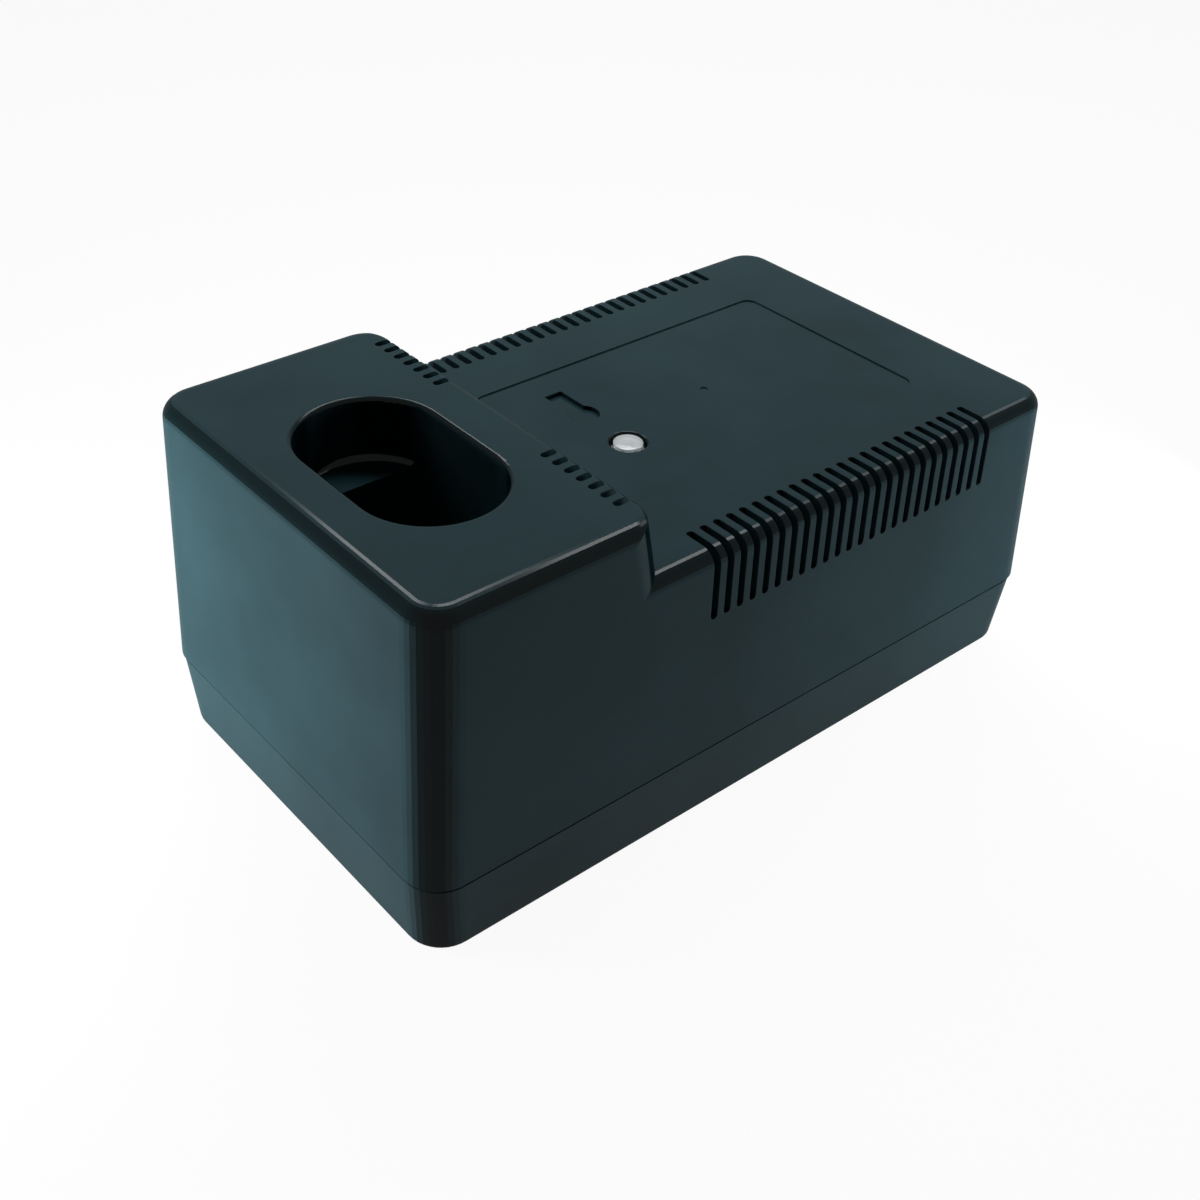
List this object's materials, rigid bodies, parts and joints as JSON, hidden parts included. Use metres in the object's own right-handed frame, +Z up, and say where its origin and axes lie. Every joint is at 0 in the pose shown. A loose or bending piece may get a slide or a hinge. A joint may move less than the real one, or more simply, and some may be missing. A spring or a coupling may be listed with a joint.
{
  "type": "power tool battery charger",
  "caption": "Black mains charger for a stem-type power tool battery, with an obround battery well in a raised head and a vented deck",
  "frame": {"origin": "bottom centre of the bounding box, under the rubber feet", "axes": "+X along the housing from the battery end to the mains inlet, +Y to the left seen from the battery end, +Z up"},
  "size_m": [0.2, 0.1124, 0.0933],
  "materials": {
    "shell_plastic": "satin",
    "tray_plastic": "satin",
    "clear_lens": "gloss",
    "foot_rubber": "matte",
    "screw_steel": "satin",
    "block_plastic": "matte",
    "contact_brass": "satin",
    "board_laminate": "satin",
    "led_epoxy": "gloss",
    "white_nylon": "matte",
    "aluminium": "satin",
    "component_epoxy": "matte",
    "capacitor_sleeve": "gloss",
    "relay_case": "gloss",
    "resistor_body": "satin",
    "fuse_glass": "gloss",
    "tinned_steel": "satin",
    "core_steel": "satin",
    "copper_wire": "gloss",
    "enamelled_wire": "gloss",
    "frame_steel": "satin",
    "lead_sheath_brown": "satin",
    "lead_sheath_red": "satin",
    "lead_sheath_black": "satin"
  },
  "bodies": {
    "housing": {"upper_shell": "shell_plastic", "base_tray": "tray_plastic", "indicator_lens": "clear_lens", "rubber_feet": "foot_rubber", "housing_screws": "screw_steel", "contact_block": "block_plastic", "contact_tails": "contact_brass", "circuit_board": "board_laminate", "board_screws": "screw_steel", "indicator_led": "led_epoxy", "led_spacer": "white_nylon", "heat_sink": "aluminium", "power_transistor": "component_epoxy", "bridge_rectifier": "component_epoxy", "smoothing_capacitor": "capacitor_sleeve", "relay": "relay_case", "control_chip": "component_epoxy", "resistors": "resistor_body", "fuse": "fuse_glass", "fuse_clips": "tinned_steel", "transformer_core": "core_steel", "transformer_bobbin": "white_nylon", "bobbin_tags": "contact_brass", "primary_winding": "enamelled_wire", "secondary_winding": "copper_wire", "thermal_fuse": "white_nylon", "transformer_frame": "frame_steel", "transformer_screws": "screw_steel", "mains_inlet": "component_epoxy", "inlet_pins": "tinned_steel", "mains_leads": "lead_sheath_brown", "secondary_leads": "lead_sheath_red", "contact_leads": "lead_sheath_black"},
    "leaf_positive": {"contact_positive": "contact_brass"},
    "leaf_negative": {"contact_negative": "contact_brass"},
    "leaf_sensor": {"contact_sensor": "contact_brass"}
  },
  "joints": [
    {"name": "press_positive", "type": "hinge", "parent": "housing", "child": "leaf_positive", "pos_m": [-0.0783, -0.018, 0.0287], "axis": [0, 1, 0], "range_deg": [0, 8], "stiffness_Nm_per_rad": 0.4},
    {"name": "press_negative", "type": "hinge", "parent": "housing", "child": "leaf_negative", "pos_m": [-0.0783, 0.004, 0.0287], "axis": [0, 1, 0], "range_deg": [0, 8], "stiffness_Nm_per_rad": 0.4},
    {"name": "press_sensor", "type": "hinge", "parent": "housing", "child": "leaf_sensor", "pos_m": [-0.0783, -0.007, 0.0287], "axis": [0, 1, 0], "range_deg": [0, 8], "stiffness_Nm_per_rad": 0.4}
  ]
}
